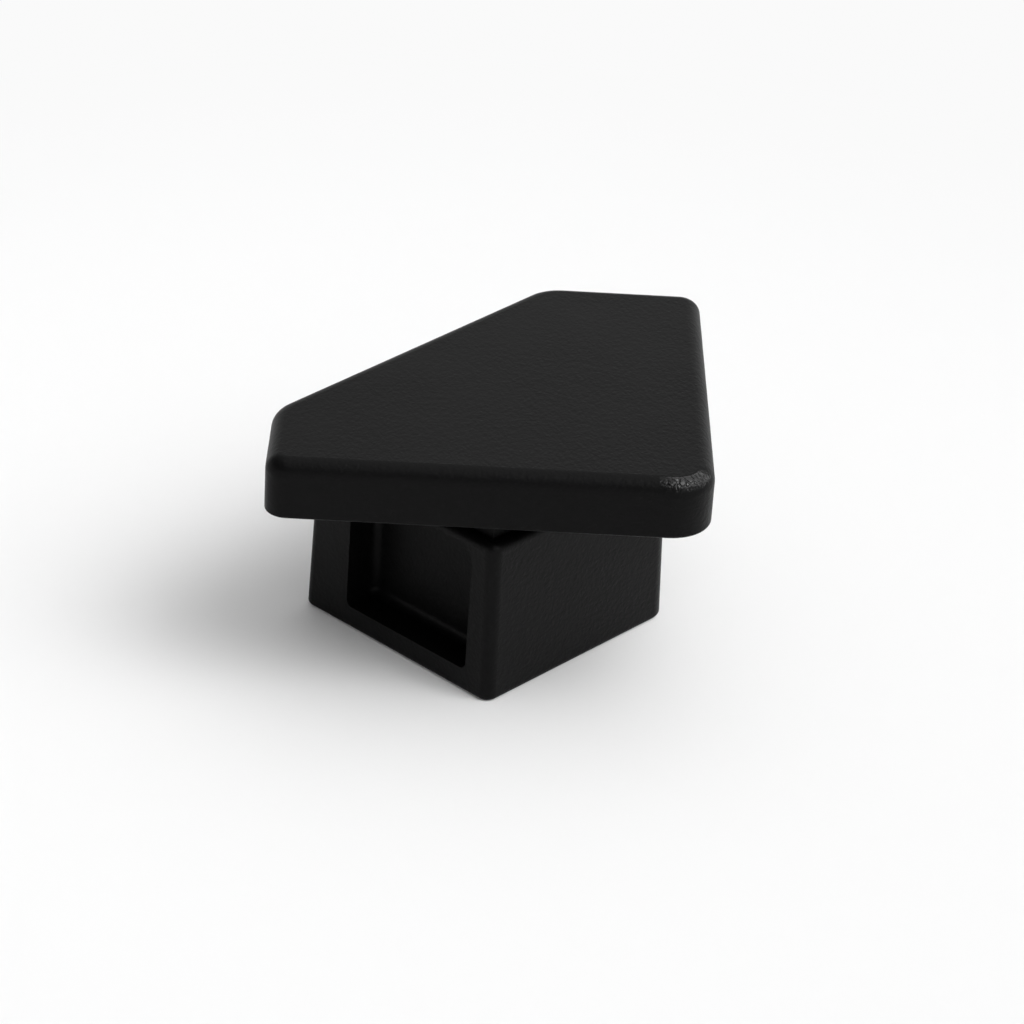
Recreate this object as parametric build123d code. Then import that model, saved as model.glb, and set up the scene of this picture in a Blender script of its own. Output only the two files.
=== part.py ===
from build123d import *
import os

# Profile end cap: one moulded piece. A thick five-sided plate closes the end of a
# profile, and a block-shaped plug under it, turned to face the long slanted edge,
# presses into the bore. Millimetres, +Z up. The plug's foot stands on z = 0, and the
# square that the plate's two long edges span is centred on the origin.

# --- plate, seen from above: +X to the right, -Y to the front ---
LEG = 40.0             # long front edge and long right edge, which meet square
LEFT_SIDE = 11.3       # short left side, from the front edge to the slanted edge
BACK_SIDE = 15.6       # short back side, from the right edge to the slanted edge
PLATE_THICK = 5.6
SQUARE_CORNER_R = 4.0  # plan radius where the two long edges meet
BACK_RIGHT_R = 2.1
BACK_SLANT_R = 4.5
LEFT_SLANT_R = 4.4
FRONT_LEFT_R = 2.0
TOP_EDGE_R = 1.5       # soft edge round the plate's top
UNDER_EDGE_R = 0.3

# --- plug block, wider at its foot so that it grips harder the further in it goes ---
PLUG_HEIGHT = 16.0
PLUG_TURN = 46.9       # degrees from the long front edge
PLUG_X = 0.5
PLUG_Y = -2.95
SHOULDER_LENGTH = 24.5  # along the plain faces
SHOULDER_WIDTH = 23.3   # along the pocket's face
FOOT_LENGTH = 25.0
FOOT_WIDTH = 24.4
FRONT_EDGE_R = 1.1     # upright edge between the pocket's face and the right-hand face
LEFT_EDGE_R = 1.1
RIGHT_EDGE_R = 2.1
BACK_EDGE_R = 1.1
SHOULDER_EDGE_R = 0.8
FOOT_EDGE_R = 0.5

# --- neck: the relief between the plug's shoulder and the plate ---
NECK_HEIGHT = 2.0
NECK_INSET = 1.3       # how far the neck stands back from the shoulder, all round

# --- blind pocket in the plug's left-hand face ---
STILE_LEFT = 5.5       # wall left of the pocket
STILE_FRONT = 2.8      # wall between the pocket and the front upright edge
RAIL_FOOT = 2.3        # wall under the pocket
RAIL_SHOULDER = 0.9    # wall over the pocket
POCKET_DEPTH = 3.6
POCKET_UPPER_R = 1.7
POCKET_LOWER_R = 0.7
POCKET_ROOT_R = 0.9    # soft root where the pocket's walls meet its back

PLATE_UNDER_Z = PLUG_HEIGHT + NECK_HEIGHT
PLATE_TOP_Z = PLATE_UNDER_Z + PLATE_THICK
HALF = LEG / 2
ON_PLANE = 1e-4        # how near an edge lies to a height to count as being at it


def rounded_outline(corners):
    """Closed face through (x, y, radius) corners, each rounded by its own radius."""
    outline = make_face(Polyline(*[(x, y) for x, y, _ in corners], close=True))
    for x, y, radius in corners:
        corner = outline.vertices().sort_by_distance((x, y, 0))[0]
        outline = fillet(corner, radius)
    return outline


def edges_at(solid, z):
    """Every edge that lies flat at the height z."""
    return solid.edges().filter_by(
        lambda edge: abs(edge.bounding_box().min.Z - z) < ON_PLANE
        and abs(edge.bounding_box().max.Z - z) < ON_PLANE
    )


def make_plate():
    """Five-sided plate with a soft top edge."""
    outline = rounded_outline(
        [
            (HALF, -HALF, SQUARE_CORNER_R),
            (HALF, HALF, BACK_RIGHT_R),
            (HALF - BACK_SIDE, HALF, BACK_SLANT_R),
            (-HALF, -HALF + LEFT_SIDE, LEFT_SLANT_R),
            (-HALF, -HALF, FRONT_LEFT_R),
        ]
    )
    plate = Pos(0, 0, PLATE_UNDER_Z) * extrude(outline, amount=PLATE_THICK)
    plate = fillet(edges_at(plate, PLATE_TOP_Z), TOP_EDGE_R)
    return fillet(edges_at(plate, PLATE_UNDER_Z), UNDER_EDGE_R)


def make_block():
    """The plug's block in its own axes, with the pocket's face at -X."""
    foot = Rectangle(FOOT_LENGTH, FOOT_WIDTH)
    shoulder = Pos(0, 0, PLUG_HEIGHT) * Rectangle(SHOULDER_LENGTH, SHOULDER_WIDTH)
    block = loft([foot, shoulder])
    upright_radii = {
        (-1, -1): FRONT_EDGE_R,
        (1, -1): RIGHT_EDGE_R,
        (-1, 1): LEFT_EDGE_R,
        (1, 1): BACK_EDGE_R,
    }
    for (side_x, side_y), radius in upright_radii.items():
        corner = (side_x * FOOT_LENGTH / 2, side_y * FOOT_WIDTH / 2, PLUG_HEIGHT / 2)
        upright = block.edges().sort_by_distance(corner)[0]
        block = fillet(upright, radius)
    block = fillet(edges_at(block, PLUG_HEIGHT), SHOULDER_EDGE_R)
    return fillet(edges_at(block, 0), FOOT_EDGE_R)


def make_pocket():
    """The space of the blind pocket, open at the block's -X face."""
    face_x = (FOOT_LENGTH + SHOULDER_LENGTH) / 4
    half_width = (FOOT_WIDTH + SHOULDER_WIDTH) / 4
    left = half_width - STILE_LEFT
    front = -half_width + STILE_FRONT
    low = RAIL_FOOT
    high = PLUG_HEIGHT - RAIL_SHOULDER
    mouth = rounded_outline(
        [
            (left, low, POCKET_LOWER_R),
            (left, high, POCKET_UPPER_R),
            (front, high, POCKET_UPPER_R),
            (front, low, POCKET_LOWER_R),
        ]
    )
    run_in = FOOT_LENGTH
    space = extrude(Plane.YZ * mouth, amount=run_in)
    back = space.faces().sort_by(Axis.X)[-1]
    space = fillet(back.edges(), POCKET_ROOT_R)
    return Pos(POCKET_DEPTH - face_x - run_in, 0, 0) * space


def make_neck():
    """Neck that carries the plate on the block's shoulder, run into both."""
    run_in = 1.0
    section = Rectangle(SHOULDER_LENGTH - 2 * NECK_INSET, SHOULDER_WIDTH - 2 * NECK_INSET)
    neck = extrude(section, amount=NECK_HEIGHT + 2 * run_in)
    return Pos(0, 0, PLUG_HEIGHT - run_in) * neck


plug = make_block() - make_pocket() + make_neck()
placed_plug = Pos(PLUG_X, PLUG_Y, 0) * Rot(0, 0, PLUG_TURN) * plug
end_cap = make_plate() + placed_plug

os.makedirs("parts", exist_ok=True)
export_step(end_cap, "parts/end_cap.step")
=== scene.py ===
import math

import bpy
import numpy as np
from mathutils import Matrix, Vector

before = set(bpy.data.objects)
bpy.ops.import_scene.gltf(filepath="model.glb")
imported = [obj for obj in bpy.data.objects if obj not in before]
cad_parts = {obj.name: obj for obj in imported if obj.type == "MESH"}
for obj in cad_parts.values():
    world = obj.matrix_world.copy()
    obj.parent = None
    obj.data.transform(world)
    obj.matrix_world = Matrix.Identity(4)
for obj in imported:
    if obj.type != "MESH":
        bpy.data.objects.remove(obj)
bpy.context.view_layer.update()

bl_info = {
    "name": "Profile End Cap",
    "version": (1, 0, 0),
    "blender": (4, 5, 0),
    "location": "3D View > Sidebar > End Cap",
    "description": "Dresses a moulded profile end cap and sets up its studio",
    "category": "Object",
}

MM = 0.001
GRAIN_LIE = (1.0, 0.62, 1.0)  # the grain runs a little longer from front to back
OVERHEAD_WAY = (0.1, 0.4, 0.92)  # towards the middle of the light overhead
SIDE_WAY = (0.6, -0.25, 0.85)  # towards the middle of the light from the right
CORNER_CENTRE = 16.0  # mm, centre of the front-right corner, from both middle planes

# the rubbed patch, in mm: each pair is where it begins and where it is full
RUB_INNER = (2.62, 2.82)  # how far past the corner's centre, on the inner rim
RUB_OUTER = (3.95, 3.45)  # the same, on the outer rim
RUB_START = (14.6, 16.4)  # x, at its left end
RUB_END = (-16.7, -17.9)  # y, at its right end
RUB_LOW = (22.35, 22.75)  # z, at its lower rim
RUB_RAGGED = 1.6  # how far its rims wander

# the grain, with texture scales in waves per mm
DRIFT_SCALE = 1.3
DRIFT = 0.5  # mm that the pebbles are pushed about
FINE_SCALE = 4.2
FINE_SHARE = 1.1
PEBBLE_SHARE = 0.8
PATCH_SCALE = 0.12
BOLDER_PER_MM = 0.012  # towards the right and the front
LEAST_BOLD = 0.35
MOTTLE = 0.1  # how much the roughness wanders
WRINKLE_SCALE = 1.7
WRINKLE_RIM = 0.22  # mm over which a wrinkle's rim rises

FLOOR_RINGS = (0.02, 0.1, 0.3, 0.6, 0.9, 1.0, 1.1, 1.2, 1.35, 1.5)  # shares of the floor's radius
FLOOR_SIDES = 96
COVE_WIDTH = 0.5  # share of the floor's radius over which its rim rises
COVE_RISE = 0.5  # metres
NEAR_FLOOR = (0.05, 0.14)  # metres from the cap, where the shadowed floor gives way to the plain one
PLAIN_SHARE = (0.04, 1.0)  # share of the plain floor at those two distances


# ---------------------------------------------------------------- node helpers


class NodeSheet:
    """A material's or world's node tree, cleared, with short ways to add nodes to it."""

    def __init__(self, owner):
        owner.use_nodes = True
        self.tree = owner.node_tree
        self.tree.nodes.clear()

    def add(self, kind, inputs=None, **settings):
        node = self.tree.nodes.new(kind)
        for name, value in settings.items():
            setattr(node, name, value)
        for name, value in (inputs or {}).items():
            if isinstance(value, bpy.types.NodeSocket):
                self.tree.links.new(value, node.inputs[name])
            else:
                node.inputs[name].default_value = value
        return node

    def math(self, operation, first, second=0.0):
        return self.add("ShaderNodeMath", {0: first, 1: second}, operation=operation).outputs[0]

    def band(self, value, low, high, out_low=0.0, out_high=1.0):
        """Smooth step of value from low to high."""
        node = self.add(
            "ShaderNodeMapRange",
            {"Value": value, "From Min": low, "From Max": high, "To Min": out_low, "To Max": out_high},
            interpolation_type="SMOOTHSTEP",
        )
        return node.outputs["Result"]


# ---------------------------------------------------------------- the moulding


class MouldingSettings(bpy.types.PropertyGroup):
    """Colour, gloss and grain of the moulded plastic."""

    colour: bpy.props.FloatVectorProperty(
        name="Colour", description="Base colour of the plastic", subtype="COLOR",
        size=3, min=0, max=1, default=(0.0030, 0.0030, 0.0031),
    )
    roughness: bpy.props.FloatProperty(
        name="Roughness", description="Roughness of the plain moulded faces",
        default=0.42, min=0, max=1, subtype="FACTOR",
    )
    shine: bpy.props.FloatProperty(
        name="Shine", description="Specular level of the plain moulded faces",
        default=0.085, min=0, max=1, subtype="FACTOR",
    )
    grain_size: bpy.props.FloatProperty(
        name="Grain size", description="Width of one pebble of the grain",
        default=0.42 * MM, unit="LENGTH", precision=5,
    )
    grain_depth: bpy.props.FloatProperty(
        name="Grain depth", description="Height of the grain where it is deepest",
        default=0.022 * MM, unit="LENGTH", precision=6,
    )
    rub_roughness: bpy.props.FloatProperty(
        name="Rubbed roughness", description="Roughness of the rubbed corner",
        default=0.24, min=0, max=1, subtype="FACTOR",
    )
    rub_gloss: bpy.props.FloatProperty(
        name="Rubbed gloss", description="Weight of the glossy skin on the rubbed corner",
        default=0.75, min=0, max=1, subtype="FACTOR",
    )
    rub_depth: bpy.props.FloatProperty(
        name="Rubbed wrinkles", description="Height of the wrinkles on the rubbed corner",
        default=0.07 * MM, unit="LENGTH", precision=6,
    )


def rubbed_corner(sheet, x, y, z, ragged):
    """Mask of the rubbed patch on the top edge's rounding, round the square front-right corner.

    Out is how far a point lies past the centre of the corner's plan radius. The patch fills a
    band of out with a crisp inner rim and a ragged outer one, and fades at both ends.
    """
    past_x = sheet.math("MAXIMUM", sheet.math("SUBTRACT", x, CORNER_CENTRE), 0.0)
    past_y = sheet.math("MAXIMUM", sheet.math("SUBTRACT", -CORNER_CENTRE, y), 0.0)
    square_x = sheet.math("MULTIPLY", past_x, past_x)
    squares = sheet.math("ADD", square_x, sheet.math("MULTIPLY", past_y, past_y))
    out = sheet.math("SQRT", squares)
    inner = sheet.band(out, *RUB_INNER)
    outer = sheet.band(sheet.math("ADD", out, ragged), *RUB_OUTER)
    start = sheet.band(sheet.math("ADD", x, ragged), *RUB_START)
    end = sheet.band(y, *RUB_END)
    low = sheet.band(sheet.math("ADD", z, ragged), *RUB_LOW)
    rim = sheet.math("MULTIPLY", sheet.math("MULTIPLY", inner, outer), low)
    return sheet.math("MULTIPLY", rim, sheet.math("MULTIPLY", start, end))


def moulded_plastic(settings):
    """Near-black moulded plastic: hide grain, and a rubbed patch on the front-right corner."""
    material = bpy.data.materials.new("moulded_black")
    sheet = NodeSheet(material)
    place = sheet.add("ShaderNodeTexCoord").outputs["Object"]
    in_mm = sheet.add("ShaderNodeMapping", {"Vector": place, "Scale": (1 / MM,) * 3}).outputs["Vector"]
    axes = sheet.add("ShaderNodeSeparateXYZ", {0: in_mm}).outputs

    # the grain's pebbles are pushed about a little, so that no two are alike
    drift = sheet.add(
        "ShaderNodeTexNoise", {"Vector": in_mm, "Scale": DRIFT_SCALE, "Detail": 1.0},
    ).outputs["Color"]
    drift = sheet.add(
        "ShaderNodeVectorMath", {0: drift, 1: (0.5, 0.5, 0.5)}, operation="SUBTRACT",
    ).outputs[0]
    drift = sheet.add("ShaderNodeVectorMath", {0: drift, "Scale": DRIFT}, operation="SCALE").outputs[0]
    warped = sheet.add("ShaderNodeVectorMath", {0: in_mm, 1: drift}, operation="ADD").outputs[0]
    long_grain = sheet.add("ShaderNodeMapping", {"Vector": warped, "Scale": GRAIN_LIE}).outputs["Vector"]
    pebbles = sheet.add(
        "ShaderNodeTexVoronoi",
        {"Vector": long_grain, "Scale": MM / settings.grain_size, "Smoothness": 0.6, "Randomness": 1.0},
        feature="SMOOTH_F1",
    ).outputs["Distance"]
    fine = sheet.add(
        "ShaderNodeTexNoise", {"Vector": long_grain, "Scale": FINE_SCALE, "Detail": 2.0},
    ).outputs["Fac"]
    fine_part = sheet.math("MULTIPLY", fine, FINE_SHARE)
    grain = sheet.math("SUBTRACT", fine_part, sheet.math("MULTIPLY", pebbles, PEBBLE_SHARE))

    # the grain is bolder towards the right and the front, and comes and goes in soft patches
    patches = sheet.add(
        "ShaderNodeTexNoise", {"Vector": in_mm, "Scale": PATCH_SCALE, "Detail": 1.0},
    ).outputs["Fac"]
    lean = sheet.math("MULTIPLY", sheet.math("SUBTRACT", axes["X"], axes["Y"]), BOLDER_PER_MM)
    boldness = sheet.math("ADD", sheet.math("ADD", lean, patches), LEAST_BOLD)
    height = sheet.math("MULTIPLY", grain, boldness)
    bump = sheet.add("ShaderNodeBump", {"Height": height, "Distance": settings.grain_depth, "Strength": 1.0})

    # wrinkles of the rubbed corner: rims of cells, like folds
    cells = sheet.add(
        "ShaderNodeTexVoronoi",
        {"Vector": warped, "Scale": WRINKLE_SCALE, "Randomness": 1.0},
        feature="DISTANCE_TO_EDGE",
    ).outputs["Distance"]
    folds = sheet.band(cells, 0.0, WRINKLE_RIM)
    ragged = sheet.math("MULTIPLY", sheet.math("SUBTRACT", fine, 0.5), RUB_RAGGED)
    rub = rubbed_corner(sheet, axes["X"], axes["Y"], axes["Z"], ragged)
    folded = sheet.math("MULTIPLY", folds, rub)
    wrinkles = sheet.add(
        "ShaderNodeBump",
        {
            "Height": folded, "Distance": settings.rub_depth, "Strength": 1.0,
            "Normal": bump.outputs["Normal"],
        },
    )
    mottle = sheet.math("MULTIPLY", sheet.math("SUBTRACT", patches, 0.5), MOTTLE)
    plain_roughness = sheet.math("ADD", mottle, settings.roughness)
    roughness = sheet.add("ShaderNodeMix", {0: rub, 2: plain_roughness, 3: settings.rub_roughness})
    shader = sheet.add(
        "ShaderNodeBsdfPrincipled",
        {
            "Base Color": (*settings.colour, 1.0),
            "Roughness": roughness.outputs[0],
            "Specular IOR Level": settings.shine,
            "Normal": wrinkles.outputs["Normal"],
            "Coat Weight": sheet.math("MULTIPLY", rub, settings.rub_gloss),
            "Coat Roughness": settings.rub_roughness,
            "Coat Normal": wrinkles.outputs["Normal"],
        },
    )
    sheet.add("ShaderNodeOutputMaterial", {"Surface": shader.outputs["BSDF"]})
    return material


class ENDCAP_OT_moulding(bpy.types.Operator):
    """Give the one-piece moulding its grained plastic"""

    bl_idname = "endcap.moulding"
    bl_label = "Moulding"

    def execute(self, context):
        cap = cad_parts["end_cap"]
        material = moulded_plastic(context.scene.endcap_moulding)
        for slot in cap.material_slots:
            slot.material = material
        return {"FINISHED"}


# ---------------------------------------------------------------- the stage


class StageSettings(bpy.types.PropertyGroup):
    """Floor, light and camera."""

    floor_colour: bpy.props.FloatVectorProperty(
        name="Floor colour", description="Colour of the floor", subtype="COLOR",
        size=3, min=0, max=1, default=(0.9, 0.9, 0.9),
    )
    floor_radius: bpy.props.FloatProperty(
        name="Floor radius", description="Radius of the flat floor", default=0.9, unit="LENGTH",
    )
    backdrop: bpy.props.FloatProperty(
        name="Backdrop", description="Level of the floor and backdrop away from the part", default=0.955,
    )
    dome: bpy.props.FloatProperty(name="Dome", description="Level of the light all round", default=0.23)
    to_back: bpy.props.FloatProperty(
        name="Towards the back", description="How much brighter the dome is behind than at its middle", default=0.1,
    )
    to_right: bpy.props.FloatProperty(
        name="Towards the right", description="How much brighter the dome is on the right than at its middle",
        default=0.18,
    )
    overhead: bpy.props.FloatProperty(
        name="Overhead", description="Level of the broad soft light overhead", default=1.15,
    )
    overhead_focus: bpy.props.FloatProperty(
        name="Overhead focus", description="Power that narrows the light overhead", default=10.0,
    )
    side: bpy.props.FloatProperty(
        name="Side", description="Level of the broad soft light from the right", default=7.2,
    )
    side_focus: bpy.props.FloatProperty(
        name="Side focus", description="Power that narrows the light from the right", default=16.0,
    )
    lens: bpy.props.FloatProperty(name="Lens", description="Focal length", default=119.3, unit="CAMERA")
    elevation: bpy.props.FloatProperty(
        name="Elevation", description="Camera height angle", default=math.radians(28.83), unit="ROTATION",
    )
    azimuth: bpy.props.FloatProperty(
        name="Azimuth", description="Camera turn about the cap", default=math.radians(-1.26), unit="ROTATION",
    )
    roll: bpy.props.FloatProperty(
        name="Roll", description="Camera roll", default=math.radians(3.61), unit="ROTATION",
    )
    distance: bpy.props.FloatProperty(
        name="Distance", description="From the camera to the point it looks at", default=0.3262, unit="LENGTH",
    )
    aim: bpy.props.FloatVectorProperty(
        name="Aim", description="Point that the camera looks at", subtype="TRANSLATION", size=3,
        default=(2.52 * MM, 2.95 * MM, 7.31 * MM),
    )


def studio_floor(settings):
    """Disc whose rim rises in a smooth cove.

    Height = rise * u * u, where u is the share of the way past the flat part. Near the cap the floor
    is lit and holds the shadow, and further out it gives way to the backdrop's plain level.
    """
    around = np.linspace(0, 2 * math.pi, FLOOR_SIDES, endpoint=False)
    out = np.array(FLOOR_RINGS) * settings.floor_radius
    share = np.clip((out - settings.floor_radius) / (COVE_WIDTH * settings.floor_radius), 0, 1)
    height = COVE_RISE * share**2
    ring = np.stack([np.cos(around), np.sin(around), 0 * around], axis=1)
    points = out[:, None, None] * ring + height[:, None, None] * np.array([0, 0, 1.0])
    rows, columns = points.shape[:2]
    index = np.arange(rows * columns).reshape(rows, columns)
    following = np.roll(index, -1, axis=1)
    quads = np.stack([index[:-1], index[1:], following[1:], following[:-1]], axis=-1).reshape(-1, 4)
    mesh = bpy.data.meshes.new("studio_floor")
    mesh.from_pydata(points.reshape(-1, 3).tolist(), [], quads.tolist() + [index[0].tolist()])
    mesh.shade_smooth()
    floor = bpy.data.objects.new("studio_floor", mesh)
    bpy.context.scene.collection.objects.link(floor)
    material = bpy.data.materials.new("floor_pale")
    sheet = NodeSheet(material)
    lit = sheet.add("ShaderNodeBsdfDiffuse", {"Color": (*settings.floor_colour, 1.0)}).outputs[0]
    plain = sheet.add(
        "ShaderNodeEmission", {"Color": (1, 1, 1, 1), "Strength": settings.backdrop},
    ).outputs[0]
    place = sheet.add("ShaderNodeTexCoord").outputs["Object"]
    away = sheet.add("ShaderNodeVectorMath", {0: place}, operation="LENGTH").outputs["Value"]
    path = sheet.add("ShaderNodeLightPath").outputs
    seen = sheet.math("MAXIMUM", path["Is Camera Ray"], path["Is Glossy Ray"])
    seen = sheet.math("MAXIMUM", seen, path["Is Transmission Ray"])
    share = sheet.math("MULTIPLY", seen, sheet.band(away, *NEAR_FLOOR, *PLAIN_SHARE))
    mix = sheet.add("ShaderNodeMixShader", {0: share, 1: lit, 2: plain}).outputs[0]
    sheet.add("ShaderNodeOutputMaterial", {"Surface": mix})
    mesh.materials.append(material)
    return floor


def studio_world(settings):
    """Soft light all round, stronger to the back and the right, with two broad brighter parts.

    For a unit way, level = dome + to_back * y + to_right * x + the sum of
    strength * (way . centre) ** focus over the parts overhead and to the right.
    """
    world = bpy.data.worlds.new("studio")
    bpy.context.scene.world = world
    sheet = NodeSheet(world)
    way = sheet.add("ShaderNodeTexCoord").outputs["Generated"]
    axes = sheet.add("ShaderNodeSeparateXYZ", {0: way}).outputs
    level = sheet.math("ADD", sheet.math("MULTIPLY", axes["Y"], settings.to_back), settings.dome)
    level = sheet.math("ADD", sheet.math("MULTIPLY", axes["X"], settings.to_right), level)
    lights = (
        (OVERHEAD_WAY, settings.overhead_focus, settings.overhead),
        (SIDE_WAY, settings.side_focus, settings.side),
    )
    for centre, focus, strength in lights:
        centre = Vector(centre).normalized()
        near = sheet.add(
            "ShaderNodeVectorMath", {0: way, 1: centre}, operation="DOT_PRODUCT",
        ).outputs["Value"]
        near = sheet.math("POWER", sheet.math("MAXIMUM", near, 0.0), focus)
        level = sheet.math("ADD", sheet.math("MULTIPLY", near, strength), level)
    light = sheet.add("ShaderNodeBackground", {"Color": (1, 1, 1, 1), "Strength": level})
    path = sheet.add("ShaderNodeLightPath").outputs
    plain = sheet.add("ShaderNodeBackground", {"Color": (1, 1, 1, 1), "Strength": settings.backdrop})
    mix = sheet.add(
        "ShaderNodeMixShader", {0: path["Is Camera Ray"], 1: light.outputs[0], 2: plain.outputs[0]},
    )
    sheet.add("ShaderNodeOutputWorld", {"Surface": mix.outputs[0]})


def studio_camera(settings):
    """Camera at a distance from its aim, turned by azimuth and elevation, and rolled."""
    data = bpy.data.cameras.new("camera")
    data.lens = settings.lens
    data.sensor_width = 36
    data.clip_start = 0.01
    camera = bpy.data.objects.new("camera", data)
    bpy.context.scene.collection.objects.link(camera)
    turn = (
        Matrix.Rotation(settings.azimuth, 4, "Z")
        @ Matrix.Rotation(math.pi / 2 - settings.elevation, 4, "X")
        @ Matrix.Rotation(settings.roll, 4, "Z")
    )
    place = Vector(settings.aim) + turn.to_3x3() @ Vector((0, 0, settings.distance))
    camera.matrix_world = Matrix.Translation(place) @ turn
    bpy.context.scene.camera = camera


class ENDCAP_OT_stage(bpy.types.Operator):
    """Build the floor, the soft light and the camera"""

    bl_idname = "endcap.stage"
    bl_label = "Stage"

    def execute(self, context):
        settings = context.scene.endcap_stage
        studio_floor(settings)
        studio_world(settings)
        studio_camera(settings)
        context.scene.view_settings.view_transform = "Standard"
        return {"FINISHED"}


# ---------------------------------------------------------------- add-on


class ENDCAP_PT_panel(bpy.types.Panel):
    """Lists the cap's settings and its operators"""

    bl_idname = "ENDCAP_PT_panel"
    bl_label = "End Cap"
    bl_space_type = "VIEW_3D"
    bl_region_type = "UI"
    bl_category = "End Cap"

    def draw(self, context):
        for group, operator in (("endcap_moulding", "endcap.moulding"), ("endcap_stage", "endcap.stage")):
            box = self.layout.box()
            settings = getattr(context.scene, group)
            for name in settings.__annotations__:
                box.prop(settings, name)
            box.operator(operator)


CLASSES = (MouldingSettings, StageSettings, ENDCAP_OT_moulding, ENDCAP_OT_stage, ENDCAP_PT_panel)


def register():
    for cls in CLASSES:
        bpy.utils.register_class(cls)
    bpy.types.Scene.endcap_moulding = bpy.props.PointerProperty(type=MouldingSettings)
    bpy.types.Scene.endcap_stage = bpy.props.PointerProperty(type=StageSettings)


def unregister():
    del bpy.types.Scene.endcap_moulding
    del bpy.types.Scene.endcap_stage
    for cls in reversed(CLASSES):
        bpy.utils.unregister_class(cls)


def main():
    register()
    bpy.ops.endcap.moulding()
    bpy.ops.endcap.stage()


if __name__ == "__main__":
    main()
